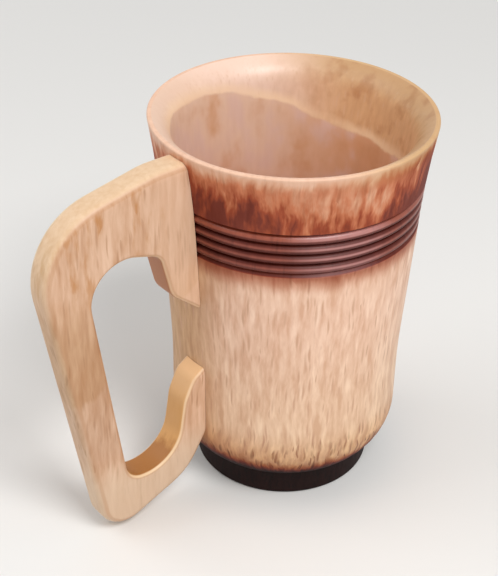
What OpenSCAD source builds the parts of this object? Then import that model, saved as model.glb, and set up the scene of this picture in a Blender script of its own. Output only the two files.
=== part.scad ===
// Bamboo cup: a culm turned to a flared mug, with a flat board handle on hidden dowels.
// Millimetres, +Z up. The origin is on the cup's axis, in the plane that it stands on.
// The handle points along -X.

/* [Culm] */
// Height from the table to the lip
cup_h = 128.5; // [118:0.5:140]
// Diameter across the lip, before its edge is rounded
rim_d = 90.4; // [86:0.2:96]
// Diameter at the throat, where the flare to the lip bends outwards
throat_d = 85.1; // [83:0.1:87]
// Height of that bend below the lip
throat_drop = 14.75; // [11:0.25:16]
// Diameter of the upright lower wall
waist_d = 76.2; // [74:0.2:80]
// Height at which the wall starts to lean outwards
waist_h = 45.6; // [40:0.2:56]
// Radius of the rounded shoulder
shoulder_r = 20; // [12:0.5:22]
// Diameter of the shoulder's lower edge
shoulder_d = 63.6; // [62:0.2:67]

/* [Foot] */
// Diameter of the foot ring
foot_d = 59.6; // [56:0.2:61]
// Height of the foot ring
foot_h = 10.5; // [8:0.25:12]
// Diameter of the hollow under the foot
hollow_d = 47; // [40:0.5:50]
// Depth of the hollow under the foot
hollow_h = 5.5; // [3:0.25:6]

/* [Beads] */
// Number of turned beads in the band
bead_count = 4; // [2:1:5]
// Distance from one groove to the next
bead_pitch = 3.5; // [3:0.1:4]
// Height of the topmost groove below the lip
band_drop = 20.2; // [18:0.2:26]
// Depth of the grooves
groove_depth = 1.3; // [0.8:0.1:1.5]
// Radius of each bead's round face
bead_r = 1.5; // [1.3:0.05:1.5]

/* [Inside] */
// Width of the flat crest of the lip, with its outer rounding
lip_w = 1.5; // [1.2:0.1:2.4]
// Radius of the lip's outer rounding
lip_r = 0.6; // [0.3:0.1:1]
// Depth of the rounded mouth, from lip to mouth cone
mouth_round_h = 6; // [5:0.5:9]
// Width of the rounded mouth
mouth_round_w = 5.8; // [4.6:0.2:6.4]
// Depth of the turned mouth
mouth_h = 30; // [26:0.5:36]
// Diameter at the mouth cone's lower end
mouth_low_d = 66.2; // [64:0.2:67.6]
// Diameter of the culm's own bore at the lip
bore_top_d = 74.8; // [73:0.2:75.4]
// Diameter of the culm's own bore at the floor
bore_low_d = 60.4; // [56:0.2:62]
// Distance of the bore's axis from the cup's axis
bore_shift = 1; // [0:0.1:1.4]
// Height of the floor inside
floor_h = 14; // [12.5:0.5:18]
// Radius of the corner between the floor and the wall
floor_r = 7; // [4:0.5:10]

/* [Handle] */
// Thickness of the handle's board
board_t = 10; // [8:0.5:13]
// Height of the handle
handle_h = 123.8; // [116:0.2:124]
// Distance of the handle's top below the lip
handle_drop = 2.5; // [2:0.25:5]
// Reach of the handle's upper corner from the waist of the cup
reach = 59.6; // [54:0.2:66]
// Inward lean of the grip, from its upper to its lower corner
grip_lean = 21.3; // [14:0.2:26]
// Width of the grip at its upper end
grip_top_w = 14.5; // [11:0.1:17]
// Width of the grip at its lower end
grip_low_w = 12.1; // [10:0.1:15]
// Height of wood above the finger opening
arch_w = 19.2; // [16:0.2:23]
// Height of wood below the finger opening
heel_w = 17.2; // [14:0.2:20]
// Thickness of the hook where it meets the cup
hook_w = 9.6; // [8:0.1:12]
// Height of the hook's tip
hook_tip_h = 51; // [46:0.5:56]
// Thickness of the lug under the arch
lug_w = 10.6; // [9:0.1:12.5]
// Length of the lug, from the handle's top to its point
lug_h = 53; // [48:0.5:58]
// Rounding of the handle's outer edges
outer_edge_r = 2.6; // [1.5:0.1:4]
// Rounding of the handle's edges in the finger opening
inner_edge_r = 1.5; // [1:0.1:2.5]

/* [Dowels] */
// Diameter of the dowels
dowel_d = 5; // [4:0.25:6]
// Depth of the dowels in the wall
dowel_in_wall = 3.4; // [2.5:0.1:3.8]
// Depth of the upper dowel in the handle
upper_dowel_in = 12; // [8:0.5:16]
// Depth of the middle dowel in the handle
middle_dowel_in = 7; // [5:0.5:8]
// Depth of the lower dowel in the handle
lower_dowel_in = 5; // [4:0.25:5.5]

/* [Hidden] */

// Segments in a full turn, and the smallest number on a rounded corner
$fn = 96;
corner_step_angle = 7.5;
corner_steps_least = 4;
edge_steps = 4;
mouth_steps = 12;
bead_steps = 5;
// Share of an edge that the roundings at its two ends may use
corner_fit_share = 0.98;
// Overrun of every cut
over = 1;

// Small sizes of the culm
foot_edge_r = 1.2;
shoulder_rise = 5.9;
shoulder_edge_r = 0.8;
waist_bend_r = 240;
throat_bend_r = 280;
hollow_r = 2;
floor_dish = 1.2;
bore_shift_angle = 158;
band_edge = 0.7;

// Small sizes of the handle: how its corners lie before they are rounded
glue_t = 0.1;
top_fall = 8.5;
top_flat = 10;
heel_sag = 3.85;
hook_out = 6.1;
hook_rise = 8.7;
hook_back_h = 28;
seat_depth = 4;
arch_rise = 8.8;
heel_tilt = 2.1;
hook_lean = 3.5;
hook_bend_h = 10.5;
hook_nose = 4.5;
hook_nose_drop = 3.4;
hook_seat_rise = 2.3;
lug_lean = 4;
lug_bend_h = 9.5;
top_corner_r = 24;
top_flat_r = 30;
heel_r = 10;
hook_back_r = 20;
arch_r = 12;
arch_lug_r = 5;
lug_bend_r = 8;
heel_in_r = 7.5;
hook_r = 15;
hook_bend_r = 10;
hook_nose_r = 6;

// Small sizes of the dowels
dowel_fit = 0.05;
dowel_end_gap = 0.3;
dowel_chamfer = 0.5;
upper_dowel_drop = 16.5;
middle_dowel_rise = 13;
lower_dowel_drop = 12.5;

rim_r = rim_d / 2;
waist_r = waist_d / 2;
foot_r = foot_d / 2;
dowel_r = dowel_d / 2;
lip_in_r = rim_r - lip_w;
handle_top = cup_h - handle_drop;
handle_low = handle_top - handle_h;
lug_tip_h = handle_top - lug_h;
upper_dowel_h = cup_h - upper_dowel_drop;
middle_dowel_h = lug_tip_h + middle_dowel_rise;
lower_dowel_h = hook_tip_h - lower_dowel_drop;

// Paths with rounded corners

function unit(v) = v / norm(v);

function wrap(i, n) = (i + n) % n;

// Angle by which a path turns at b on its way from a to c
function turn(a, b, c) = acos(max(-1, min(1, unit(b - a) * unit(c - b))));

// Length that each corner's rounding asks of the edges beside it
function asked(pts, rs) = let (n = len(pts))
    [for (i = [0:n - 1]) rs[i] * tan(turn(pts[wrap(i - 1, n)], pts[i], pts[wrap(i + 1, n)]) / 2)];

// Share of what they ask that the two corners of the edge after corner i can have
function edge_share(pts, ask, i) =
    let (n = len(pts), j = wrap(i + 1, n))
    min(1, corner_fit_share * norm(pts[j] - pts[i]) / max(ask[i] + ask[j], norm(pts[j] - pts[i]) / 2));

// Points of the arc that rounds corner b by radius r
function corner_arc(a, b, c, r) =
    let (u = unit(b - a), w = unit(c - b), angle = turn(a, b, c))
    let (side = u[0] * w[1] - u[1] * w[0] < 0 ? -1 : 1, start = b - u * r * tan(angle / 2))
    let (to_centre = side * [-u[1], u[0]], centre = start + to_centre * r)
    let (steps = max(corner_steps_least, ceil(angle / corner_step_angle)))
    [for (k = [0:steps])
        let (t = side * angle * k / steps, from = -to_centre * r)
        centre + [from[0] * cos(t) - from[1] * sin(t), from[0] * sin(t) + from[1] * cos(t)]];

// Closed path through pts, with each corner rounded by its radius in rs
function rounded(pts, rs) =
    let (n = len(pts), ask = asked(pts, rs))
    [for (i = [0:n - 1])
        let (share = min(edge_share(pts, ask, i), edge_share(pts, ask, wrap(i - 1, n))))
        each (rs[i] == 0 ? [pts[i]]
            : corner_arc(pts[wrap(i - 1, n)], pts[i], pts[wrap(i + 1, n)], rs[i] * share))];

// Culm

// Outline of the plain culm, as radius and height, with no beads and nothing hollow
function culm_path() = rounded(
    [[0, 0], [foot_r, 0], [foot_r, foot_h], [shoulder_d / 2, foot_h], [waist_r, foot_h + shoulder_rise],
        [waist_r, waist_h], [throat_d / 2, cup_h - throat_drop], [rim_r, cup_h], [0, cup_h]],
    [0, foot_edge_r, 0, shoulder_edge_r, shoulder_r, waist_bend_r, throat_bend_r, lip_r, 0]);

culm_points = culm_path();

// Radius of the plain culm's wall at height z
function culm_r(z) =
    lookup(z, [for (p = culm_points) if (p[0] > shoulder_d / 2 && p[1] > foot_h) [p[1], p[0]]]);

function groove_z(i) = cup_h - band_drop - i * bead_pitch;

// Arc of bead i, from its lower groove to its upper one
function bead_arc(i) =
    let (z = (groove_z(i) + groove_z(i + 1)) / 2, centre_r = culm_r(z) - bead_r)
    let (angle = acos((bead_r - groove_depth) / bead_r))
    [for (k = [-bead_steps:bead_steps]) let (t = angle * k / bead_steps)
        [centre_r + bead_r * cos(t), z + bead_r * sin(t)]];

band_low = groove_z(bead_count) - band_edge;
band_top = groove_z(0) + band_edge;

// Outline of the culm with its band of round beads, which meet in the grooves
turned_points = concat(
    [for (p = culm_points) if (p[1] < band_low) p],
    [[culm_r(band_low), band_low]],
    [for (i = [bead_count - 1:-1:0]) each bead_arc(i)],
    [[culm_r(band_top), band_top]],
    [for (p = culm_points) if (p[1] > band_top) p]);

// The culm's plain outer form grown by extra, to which the handle's seat is cut
module culm_form(extra) {
    rotate_extrude() polygon([for (p = culm_points) [p[0] == 0 ? 0 : p[0] + extra, p[1]]]);
}

// Turned mouth: a rounded lip that runs into a slow cone
module mouth() {
    round_points = [for (k = [0:mouth_steps]) let (t = k / mouth_steps)
        [lip_in_r - mouth_round_w * t * (2 - t), cup_h - mouth_round_h * t]];
    rotate_extrude() polygon(concat([[0, cup_h + over], [lip_in_r, cup_h + over]], round_points,
        [[mouth_low_d / 2, cup_h - mouth_h], [0, cup_h - mouth_h]]));
}

// The culm's own bore, which lies a little off the turned axis and narrows towards the node
module bore() {
    low_r = bore_low_d / 2;
    wall = rounded(
        [[0, floor_h - floor_dish], [low_r, floor_h], [bore_top_d / 2, cup_h + over], [0, cup_h + over]],
        [0, floor_r, 0, 0]);
    translate(bore_shift * [cos(bore_shift_angle), sin(bore_shift_angle), 0])
        rotate_extrude() polygon(wall);
}

// Hollow under the foot, what is left of the next length of the culm
module foot_hollow() {
    rotate_extrude() polygon(rounded(
        [[0, -over], [hollow_d / 2, -over], [hollow_d / 2, hollow_h], [0, hollow_h]], [0, 0, hollow_r, 0]));
}

// Dowels

// Bore for a dowel at height z, from inside the wall to depth in the handle
module dowel_bore(z, depth) {
    length = dowel_in_wall + depth + 2 * dowel_end_gap;
    translate([-culm_r(z) + dowel_in_wall + dowel_end_gap, 0, z]) rotate([0, -90, 0])
        cylinder(h = length, r = dowel_r + dowel_fit);
}

module dowel(z, depth) {
    length = dowel_in_wall + depth;
    tip_r = dowel_r - dowel_chamfer;
    translate([-culm_r(z) + dowel_in_wall, 0, z]) rotate([0, -90, 0]) rotate_extrude() polygon([
        [0, 0], [tip_r, 0], [dowel_r, dowel_chamfer], [dowel_r, length - dowel_chamfer],
        [tip_r, length], [0, length]]);
}

module dowel_bores() {
    dowel_bore(upper_dowel_h, upper_dowel_in);
    dowel_bore(middle_dowel_h, middle_dowel_in);
    dowel_bore(lower_dowel_h, lower_dowel_in);
}

// Handle

grip_top = [waist_r + reach, handle_top - top_fall];
grip_low = [waist_r + reach - grip_lean, handle_low - heel_sag];

// Place on the grip's outer line at height z, moved inwards by width
function grip_x(z, width) = let (share = (z - grip_low[1]) / (grip_top[1] - grip_low[1]))
    grip_low[0] + (grip_top[0] - grip_low[0]) * share - width;

arch_h = handle_top - arch_w;
heel_in_h = handle_low + heel_w;
lug_out_r = culm_r(handle_top - lug_h / 2) + lug_w;
hook_out_r = waist_r + hook_w;
seat_r = waist_r - seat_depth;

// Corners of the outer side, from the back of the hook round to the seat under the lip
outer_corners = [[seat_r, hook_back_h], [waist_r + hook_out, handle_low + hook_rise], grip_low, grip_top,
    [culm_r(handle_top) + top_flat, handle_top], [seat_r, handle_top]];
outer_radii = [0, hook_back_r, heel_r, top_corner_r, top_flat_r, 0];

// Corners of the finger opening, from the point of the lug round to the tip of the hook
inner_corners = [[seat_r, lug_tip_h - seat_depth], [lug_out_r - lug_lean / 2, lug_tip_h + lug_bend_h],
    [lug_out_r + lug_lean / 2, arch_h - arch_rise], [grip_x(arch_h, grip_top_w), arch_h],
    [grip_x(heel_in_h, grip_low_w), heel_in_h], [hook_out_r + hook_lean / 2, heel_in_h - heel_tilt],
    [hook_out_r - hook_lean / 2, hook_tip_h - hook_bend_h],
    [waist_r + hook_nose, hook_tip_h - hook_nose_drop], [seat_r, hook_tip_h + hook_seat_rise]];
inner_radii = [0, lug_bend_r, arch_lug_r, arch_r, heel_in_r, hook_r, hook_bend_r, hook_nose_r, 0];

// Angle at which point p lies round the middle of the finger opening
function angle_at(p) =
    let (middle = [(lug_out_r + grip_x(hook_tip_h, grip_low_w)) / 2, (lug_tip_h + hook_tip_h) / 2])
    atan2(p[1] - middle[1], p[0] - middle[0]);

// Triangles between two rails that turn the same way, whose points lie at the angles out and in.
// The outer rail's points are numbered from 0, and the inner rail's from the last point back.
function web(out, in, i = 0, j = 0) =
    let (i_end = len(out) - 1, j_end = len(in) - 1, last = len(out) + len(in) - 1)
    i == i_end && j == j_end ? []
    : j == j_end || (i < i_end && out[i + 1] < in[j + 1])
        ? concat([[i, i + 1, last - j]], web(out, in, i + 1, j))
        : concat([[i, last - j - 1, last - j]], web(out, in, i, j + 1));

// Flat board between the rails outer and inner, which together run once round it.
// Its edges are rounded by their own radius on each rail.
module board(outer, inner, outer_edge, inner_edge, thickness) {
    pts = concat(outer, inner);
    edge_rs = concat([for (p = outer) outer_edge], [for (p = inner) inner_edge]);
    n = len(pts);
    normals = [for (i = [0:n - 1])
        let (before = unit(pts[i] - pts[wrap(i - 1, n)]), after = unit(pts[wrap(i + 1, n)] - pts[i]))
        let (along = unit(before + after))
        [along[1], -along[0]]];
    rings = concat([for (k = [edge_steps:-1:0]) [-1, 90 * k / edge_steps]],
        [for (k = [0:edge_steps]) [1, 90 * k / edge_steps]]);
    corners = [for (ring = rings) for (i = [0:n - 1])
        let (p = pts[i] - normals[i] * edge_rs[i] * (1 - cos(ring[1])))
        [p[0], ring[0] * (thickness / 2 - edge_rs[i] * (1 - sin(ring[1]))), p[1]]];
    sides = [for (k = [0:len(rings) - 2]) for (i = [0:n - 1]) let (j = wrap(i + 1, n))
        [k * n + i, k * n + j, (k + 1) * n + j, (k + 1) * n + i]];
    cap = web([for (p = outer) angle_at(p)], [for (i = [len(inner) - 1:-1:0]) angle_at(inner[i])]);
    caps = concat([for (f = cap) [f[0], f[2], f[1]]],
        [for (f = cap) [f[0], f[1], f[2]] + [1, 1, 1] * (len(rings) - 1) * n]);
    polyhedron(corners, concat(sides, caps), convexity = 6);
}

module culm_body() {
    color("burlywood") difference() {
        rotate_extrude() polygon(turned_points);
        mouth();
        bore();
        foot_hollow();
        dowel_bores();
    }
}

module handle() {
    outer = rounded(outer_corners, outer_radii);
    inner = rounded(inner_corners, inner_radii);
    color("wheat") difference() {
        rotate([0, 0, 180]) board(outer, inner, outer_edge_r, inner_edge_r, board_t);
        culm_form(glue_t);
        dowel_bores();
    }
}

module upper_dowel() {
    color("tan") dowel(upper_dowel_h, upper_dowel_in);
}

module middle_dowel() {
    color("tan") dowel(middle_dowel_h, middle_dowel_in);
}

module lower_dowel() {
    color("tan") dowel(lower_dowel_h, lower_dowel_in);
}

culm_body();
handle();
upper_dowel();
middle_dowel();
lower_dowel();
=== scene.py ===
import math

import bmesh
import bpy
from mathutils import Matrix, Vector


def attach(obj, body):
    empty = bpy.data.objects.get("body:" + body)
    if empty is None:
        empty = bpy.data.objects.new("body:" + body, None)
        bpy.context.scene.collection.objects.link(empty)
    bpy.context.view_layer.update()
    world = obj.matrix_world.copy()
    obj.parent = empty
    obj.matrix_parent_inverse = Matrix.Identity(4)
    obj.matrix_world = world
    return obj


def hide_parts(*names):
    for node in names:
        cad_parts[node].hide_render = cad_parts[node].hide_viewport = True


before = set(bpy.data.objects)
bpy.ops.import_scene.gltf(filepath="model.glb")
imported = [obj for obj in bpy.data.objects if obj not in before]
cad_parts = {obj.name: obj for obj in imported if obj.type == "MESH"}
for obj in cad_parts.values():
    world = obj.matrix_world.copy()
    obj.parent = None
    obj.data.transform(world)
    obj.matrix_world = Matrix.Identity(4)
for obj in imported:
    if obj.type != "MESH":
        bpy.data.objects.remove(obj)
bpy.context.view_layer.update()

# Culm
# One length of giant bamboo, turned on a lathe outside, in its mouth and under its foot. The wall flares
# to a thin lip, four beads are cut below it, and the bore deeper down is the culm's own pale skin.
# The band and the foot are scorched with a flame before the whole cup is lacquered.

MM = 0.001

CUP_HEIGHT = 128.5 * MM
FOOT_RADIUS = 29.8 * MM
FOOT_HEIGHT = 10.5 * MM
FOOT_EDGE = 1.2 * MM
HOLLOW_RADIUS = 23.5 * MM
HOLLOW_HEIGHT = 5.5 * MM
HOLLOW_CORNER = 2.0 * MM
HOLLOW_EDGE = 0.5 * MM
SHOULDER_RADIUS = 31.8 * MM
SHOULDER_EDGE = 0.75 * MM
SHOULDER_ROUND = 18.8 * MM
SHOULDER_TOP = 16.4 * MM
WAIST_RADIUS = 38.1 * MM
WAIST_TOP = 45.6 * MM
WAIST_BEND = 240 * MM
THROAT_RADIUS = 42.55 * MM
THROAT_HEIGHT = 113.75 * MM
THROAT_BEND = 249 * MM
RIM_RADIUS = 45.2 * MM
LIP_WIDTH = 1.5 * MM
LIP_ROUND = 0.53 * MM

BEADS = 4
BEAD_PITCH = 3.5 * MM
BEAD_ROUND = 1.5 * MM
BAND_DROP = 20.2 * MM
BAND_EDGE = 0.7 * MM
BAND_FOOT = BAND_DROP + BEADS * BEAD_PITCH + BAND_EDGE
GROOVE_DEPTH = 1.3 * MM

MOUTH_ROUND_DEPTH = 6.0 * MM
MOUTH_ROUND_WIDTH = 5.8 * MM
MOUTH_DEPTH = 30.0 * MM
MOUTH_LOW_RADIUS = 33.1 * MM
FLARE_DEPTH = 1.5 * MOUTH_ROUND_DEPTH
FLARE_POWER = 3
BORE_TOP_RADIUS = 37.4 * MM
BORE_LOW_RADIUS = 30.2 * MM
BORE_WAY, BORE_SHIFT = math.radians(158), 1.0 * MM
BORE_CENTRE = Vector((math.cos(BORE_WAY), math.sin(BORE_WAY), 0)) * BORE_SHIFT
FLOOR_HEIGHT = 14.0 * MM
FLOOR_DISH = 1.2 * MM
FLOOR_CORNER = 7.0 * MM
# Height, number and place of the waves that make the bore uneven
BORE_WAVES = ((0.31 * MM, 2, -2.0), (0.05 * MM, 5, 2.1), (0.04 * MM, 9, 0.0), (0.03 * MM, 14, 1.3))

TURNS = 240
MOUTH_RINGS = 26
BORE_RINGS = 22
RING_CROWDING = 1.6
ARC_STEP = math.radians(6)
ARC_STEPS_LEAST = 3
STRAIGHT = ARC_STEP / 20
BEAD_STEPS = 12
SHARP_ANGLE = math.radians(34)
HALVINGS = 40
SAME_PLACE = MM / 1000

UP = Vector((0, 0, 1))
AXIS = Vector((0, 0, 0))


def flat(across, height):
    """A point of an outline, which is drawn in the plane of the axis and the handle."""
    return Vector((across, 0, height))


def arc(start, centre, side, angle, steps):
    """Points along an arc of an outline. side is 1 to turn left and -1 to turn right."""
    bm = bmesh.new()
    first = bm.verts.new(start)
    bmesh.ops.spin(bm, geom=[first], cent=centre, axis=(0, -side, 0), angle=angle, steps=steps)
    points = [p.co.copy() for p in bm.verts]
    bm.free()
    return points


def rounded_corner(before, corner, after, radius):
    """Points of the arc that rounds a corner of an outline, or the corner itself."""
    along, onward = (corner - before).normalized(), (after - corner).normalized()
    bend = along.angle(onward)
    if radius == 0 or bend < STRAIGHT:
        return [corner]
    side = 1 if along.cross(onward).y < 0 else -1
    start = corner - along * radius * math.tan(bend / 2)
    centre = start + Vector((-along.z, 0, along.x)) * side * radius
    return arc(start, centre, side, bend, max(ARC_STEPS_LEAST, math.ceil(bend / ARC_STEP)))


def outline(corners):
    """Points of an open outline through corners, each a point with the radius that rounds it."""
    points = [corners[0][0]]
    for (before, _), (corner, radius), (after, _) in zip(corners, corners[1:], corners[2:]):
        points += rounded_corner(before, corner, after, radius)
    return points + [corners[-1][0]]


def drawn(bm, points, closed=False):
    """Vertices and edges along points."""
    verts = [bm.verts.new(p) for p in points]
    for a, b in zip(verts, verts[1:]):
        bm.edges.new((a, b))
    if closed:
        bm.edges.new((verts[-1], verts[0]))
    return verts


def turned_round(bm):
    """Spins what bm holds once round the axis into a closed form."""
    bmesh.ops.spin(bm, geom=bm.verts[:] + bm.edges[:], cent=AXIS, axis=UP, angle=math.tau, steps=TURNS,
                   use_merge=True)


def closed_up(bm):
    """Merges doubles and turns all faces outwards."""
    bmesh.ops.remove_doubles(bm, verts=bm.verts[:], dist=SAME_PLACE)
    bmesh.ops.recalc_face_normals(bm, faces=bm.faces[:])


FOOT_CORNERS = [
    (flat(0, HOLLOW_HEIGHT), 0),
    (flat(HOLLOW_RADIUS, HOLLOW_HEIGHT), HOLLOW_CORNER),
    (flat(HOLLOW_RADIUS, 0), HOLLOW_EDGE),
    (flat(FOOT_RADIUS, 0), FOOT_EDGE),
    (flat(FOOT_RADIUS, FOOT_HEIGHT), 0),
]
WALL_CORNERS = [
    (flat(SHOULDER_RADIUS, FOOT_HEIGHT), SHOULDER_EDGE),
    (flat(WAIST_RADIUS, SHOULDER_TOP), SHOULDER_ROUND),
    (flat(WAIST_RADIUS, WAIST_TOP), WAIST_BEND),
    (flat(THROAT_RADIUS, THROAT_HEIGHT), THROAT_BEND),
    (flat(RIM_RADIUS, CUP_HEIGHT), LIP_ROUND),
]
plain = outline(FOOT_CORNERS + WALL_CORNERS + [(flat(RIM_RADIUS - LIP_WIDTH, CUP_HEIGHT), 0)])


def wall_radius(height):
    """Radius of the outer wall at a height above the table, without its beads."""
    for low, high in zip(plain, plain[1:]):
        if low.x > FOOT_RADIUS and low.z <= height <= high.z and high.z > low.z:
            return low.x + (high.x - low.x) * (height - low.z) / (high.z - low.z)
    return RIM_RADIUS


def mouth_radius(depth):
    """Radius of the turned mouth at a depth below the lip: a rounded flare that runs into a slow cone."""
    cone_top = RIM_RADIUS - LIP_WIDTH - MOUTH_ROUND_WIDTH
    slope = (cone_top - MOUTH_LOW_RADIUS) / (MOUTH_DEPTH - MOUTH_ROUND_DEPTH)
    flare = max(0, 1 - depth / FLARE_DEPTH) ** FLARE_POWER
    flare_width = MOUTH_ROUND_WIDTH - slope * MOUTH_ROUND_DEPTH
    return cone_top - slope * (depth - MOUTH_ROUND_DEPTH) + flare_width * flare


def bore_radius(height):
    """Radius of the culm's own bore, round its own centre."""
    share = (height - FLOOR_HEIGHT) / (CUP_HEIGHT + MM - FLOOR_HEIGHT)
    return BORE_LOW_RADIUS + (BORE_TOP_RADIUS - BORE_LOW_RADIUS) * share


def unevenness(angle):
    """How far the culm's own bore is out of round, as grown."""
    return sum(size * math.sin(waves * angle + start) for size, waves, start in BORE_WAVES)


def crease_at(angle):
    """Depth at which the turned mouth meets the bore, in the direction of angle."""
    way = Vector((math.cos(angle), math.sin(angle), 0))
    low, high = MM, MOUTH_DEPTH
    for _ in range(HALVINGS):
        depth = (low + high) / 2
        point = way * mouth_radius(depth) - BORE_CENTRE
        if point.length > bore_radius(CUP_HEIGHT - depth) + unevenness(angle):
            low = depth
        else:
            high = depth
    return low


band_low = CUP_HEIGHT - BAND_FOOT
band_top = CUP_HEIGHT - BAND_DROP + BAND_EDGE
over_band = next(i for i, p in enumerate(plain) if p.z > band_top)
profile = [p for p in plain[:over_band] if p.z < band_low] + [flat(wall_radius(band_low), band_low)]
half_turn = math.acos((BEAD_ROUND - GROOVE_DEPTH) / BEAD_ROUND)
for bead in range(BEADS):
    middle = CUP_HEIGHT - BAND_DROP - (BEADS - bead - 0.5) * BEAD_PITCH
    centre = flat(wall_radius(middle) - BEAD_ROUND, middle)
    arm = flat(BEAD_ROUND * math.cos(half_turn), -BEAD_ROUND * math.sin(half_turn))
    profile += arc(centre + arm, centre, 1, 2 * half_turn, BEAD_STEPS)
profile += [flat(wall_radius(band_top), band_top)] + plain[over_band:]

# The inside starts as plain rings under the lip, which are put in their places after the spin.
rings = [flat(MOUTH_LOW_RADIUS, CUP_HEIGHT - (i + 1) * MM) for i in range(MOUTH_RINGS + BORE_RINGS)]
above_floor = FLOOR_HEIGHT + 2 * FLOOR_CORNER
floor_points = outline([
    (flat(bore_radius(above_floor), above_floor), 0),
    (flat(BORE_LOW_RADIUS, FLOOR_HEIGHT), FLOOR_CORNER),
    (flat(0, FLOOR_HEIGHT - FLOOR_DISH), 0),
])[1:]
floor_start = floor_points[0].z

bm = bmesh.new()
ring_layer = bm.verts.layers.int.new("ring")
inside = drawn(bm, profile + rings + floor_points)[len(profile):]
for i, point in enumerate(inside):
    point[ring_layer] = min(i, MOUTH_RINGS + BORE_RINGS) + 1
turned_round(bm)

# Each point of the inside goes to its ring of the mouth or of the bore, and knows how far it lies below
# the crease between them.
skin_layer = bm.verts.layers.float.new("below_crease")
inside_layer = bm.verts.layers.float.new("inside")
creases = [crease_at(i * math.tau / TURNS) for i in range(TURNS)]
for point in bm.verts:
    ring = point[ring_layer]
    if not ring:
        point[skin_layer] = -MOUTH_DEPTH
        continue
    angle = math.atan2(point.co.y, point.co.x)
    crease = creases[round(angle * TURNS / math.tau) % TURNS]
    way = Vector((math.cos(angle), math.sin(angle), 0))
    out = (way * mouth_radius(crease) - BORE_CENTRE).normalized()
    point[inside_layer] = 1
    if ring <= MOUTH_RINGS:
        depth = crease * (ring / MOUTH_RINGS) ** RING_CROWDING
        point.co = way * mouth_radius(depth) + UP * (CUP_HEIGHT - depth)
    elif ring <= MOUTH_RINGS + BORE_RINGS:
        share = (ring - MOUTH_RINGS) / (BORE_RINGS + 1)
        height = CUP_HEIGHT - crease + (floor_start - CUP_HEIGHT + crease) * share
        radius = bore_radius(height) + unevenness(angle) * (1 - share)
        point.co = BORE_CENTRE + out * radius + UP * height
    else:
        radius = Vector((point.co.x, point.co.y, 0)).length
        point.co = BORE_CENTRE + out * radius + UP * point.co.z
    point[skin_layer] = CUP_HEIGHT - crease - point.co.z
closed_up(bm)


def smoothed(bm, mesh):
    """Writes bm to mesh, smooth but for its sharp edges."""
    for face in bm.faces:
        face.smooth = True
    for edge in bm.edges:
        edge.smooth = edge.calc_face_angle(0) < SHARP_ANGLE
    bm.to_mesh(mesh)
    bm.free()


def finished(bm, name):
    """The bmesh as an object at the origin."""
    mesh = bpy.data.meshes.new(name)
    smoothed(bm, mesh)
    made = bpy.data.objects.new(name, mesh)
    bpy.context.scene.collection.objects.link(made)
    return made


culm = finished(bm, "turned_culm")


def paint(red, green, blue):
    """A colour from its display values, 0 to 255."""
    def linear(value):
        share = value / 255
        return share / 12.92 if share < 0.04045 else ((share + 0.055) / 1.055) ** 2.4
    return (linear(red), linear(green), linear(blue), 1)


def put(tree, kind, inputs=None, **settings):
    """A new node. inputs gives its sockets, by name or number, values or the outputs that feed them."""
    made = tree.nodes.new("ShaderNode" + kind)
    for name, value in settings.items():
        setattr(made, name, value)
    for socket, value in (inputs or {}).items():
        if isinstance(value, bpy.types.NodeSocket):
            tree.links.new(value, made.inputs[socket])
        else:
            made.inputs[socket].default_value = value
    return made


def sums(tree, operation, a, b=0.0, c=0.0, clamp=False):
    """The result of one Math node."""
    return put(tree, "Math", {0: a, 1: b, 2: c}, operation=operation, use_clamp=clamp).outputs[0]


def plus(tree, value, factor, base, clamp=False):
    """value times factor, added to base."""
    return sums(tree, "MULTIPLY_ADD", value, factor, base, clamp)


def chain(tree, operation, values):
    """The values joined one after the other by the same operation."""
    result = values[0]
    for value in values[1:]:
        result = sums(tree, operation, result, value)
    return result


def product(tree, *values):
    """The values multiplied together."""
    return chain(tree, "MULTIPLY", values)


def moved(tree, operation, a, b=(0, 0, 0)):
    """The result of one Vector Math node. b is a number where a vector is scaled by it."""
    made = put(tree, "VectorMath", {0: a, "Scale" if operation == "SCALE" else 1: b}, operation=operation)
    return made.outputs[1 if operation in ("DOT_PRODUCT", "LENGTH") else 0]


def fade(tree, value, start, end, low=0.0, high=1.0):
    """A soft step from low to high while value goes from start to end."""
    return put(tree, "MapRange", {"Value": value, "From Min": start, "From Max": end, "To Min": low,
                                  "To Max": high}, interpolation_type="SMOOTHSTEP").outputs[0]


def towards(tree, place, way, start, end):
    """A soft step over the distance from the axis in the direction way, an angle round the cup."""
    distance = moved(tree, "DOT_PRODUCT", place, (math.cos(way), math.sin(way), 0))
    return fade(tree, distance, start, end)


def mixed(tree, share, a, b, how="MIX"):
    """Colours a and b mixed by share."""
    return put(tree, "Mix", {0: share, 6: a, 7: b}, data_type="RGBA", blend_type=how).outputs[2]


def tinted(tree, share, colour, tint):
    """A colour multiplied by a tint, by share."""
    return mixed(tree, share, colour, tint, "MULTIPLY")


def clouds(tree, place, size, seed, detail=2.0):
    """Soft noise, 0 to 1, in patches of a width and a height. seed picks one of its many forms."""
    across, along = size
    scale = (1 / across, 1 / across, 1 / along)
    stretched = put(tree, "Mapping", {"Vector": place, "Scale": scale}).outputs[0]
    return put(tree, "TexNoise", {"Vector": stretched, "W": seed, "Scale": 1.0, "Detail": detail},
               noise_dimensions="4D").outputs[0]


def new_group(name, inputs, outputs):
    """An empty node group, with the sockets inside it."""
    tree = bpy.data.node_groups.new(name, "ShaderNodeTree")
    for socket, kind in inputs:
        tree.interface.new_socket(socket, in_out="INPUT", socket_type="NodeSocket" + kind)
    for socket, kind in outputs:
        tree.interface.new_socket(socket, in_out="OUTPUT", socket_type="NodeSocket" + kind)
    return tree, tree.nodes.new("NodeGroupInput").outputs, tree.nodes.new("NodeGroupOutput").inputs


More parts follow.
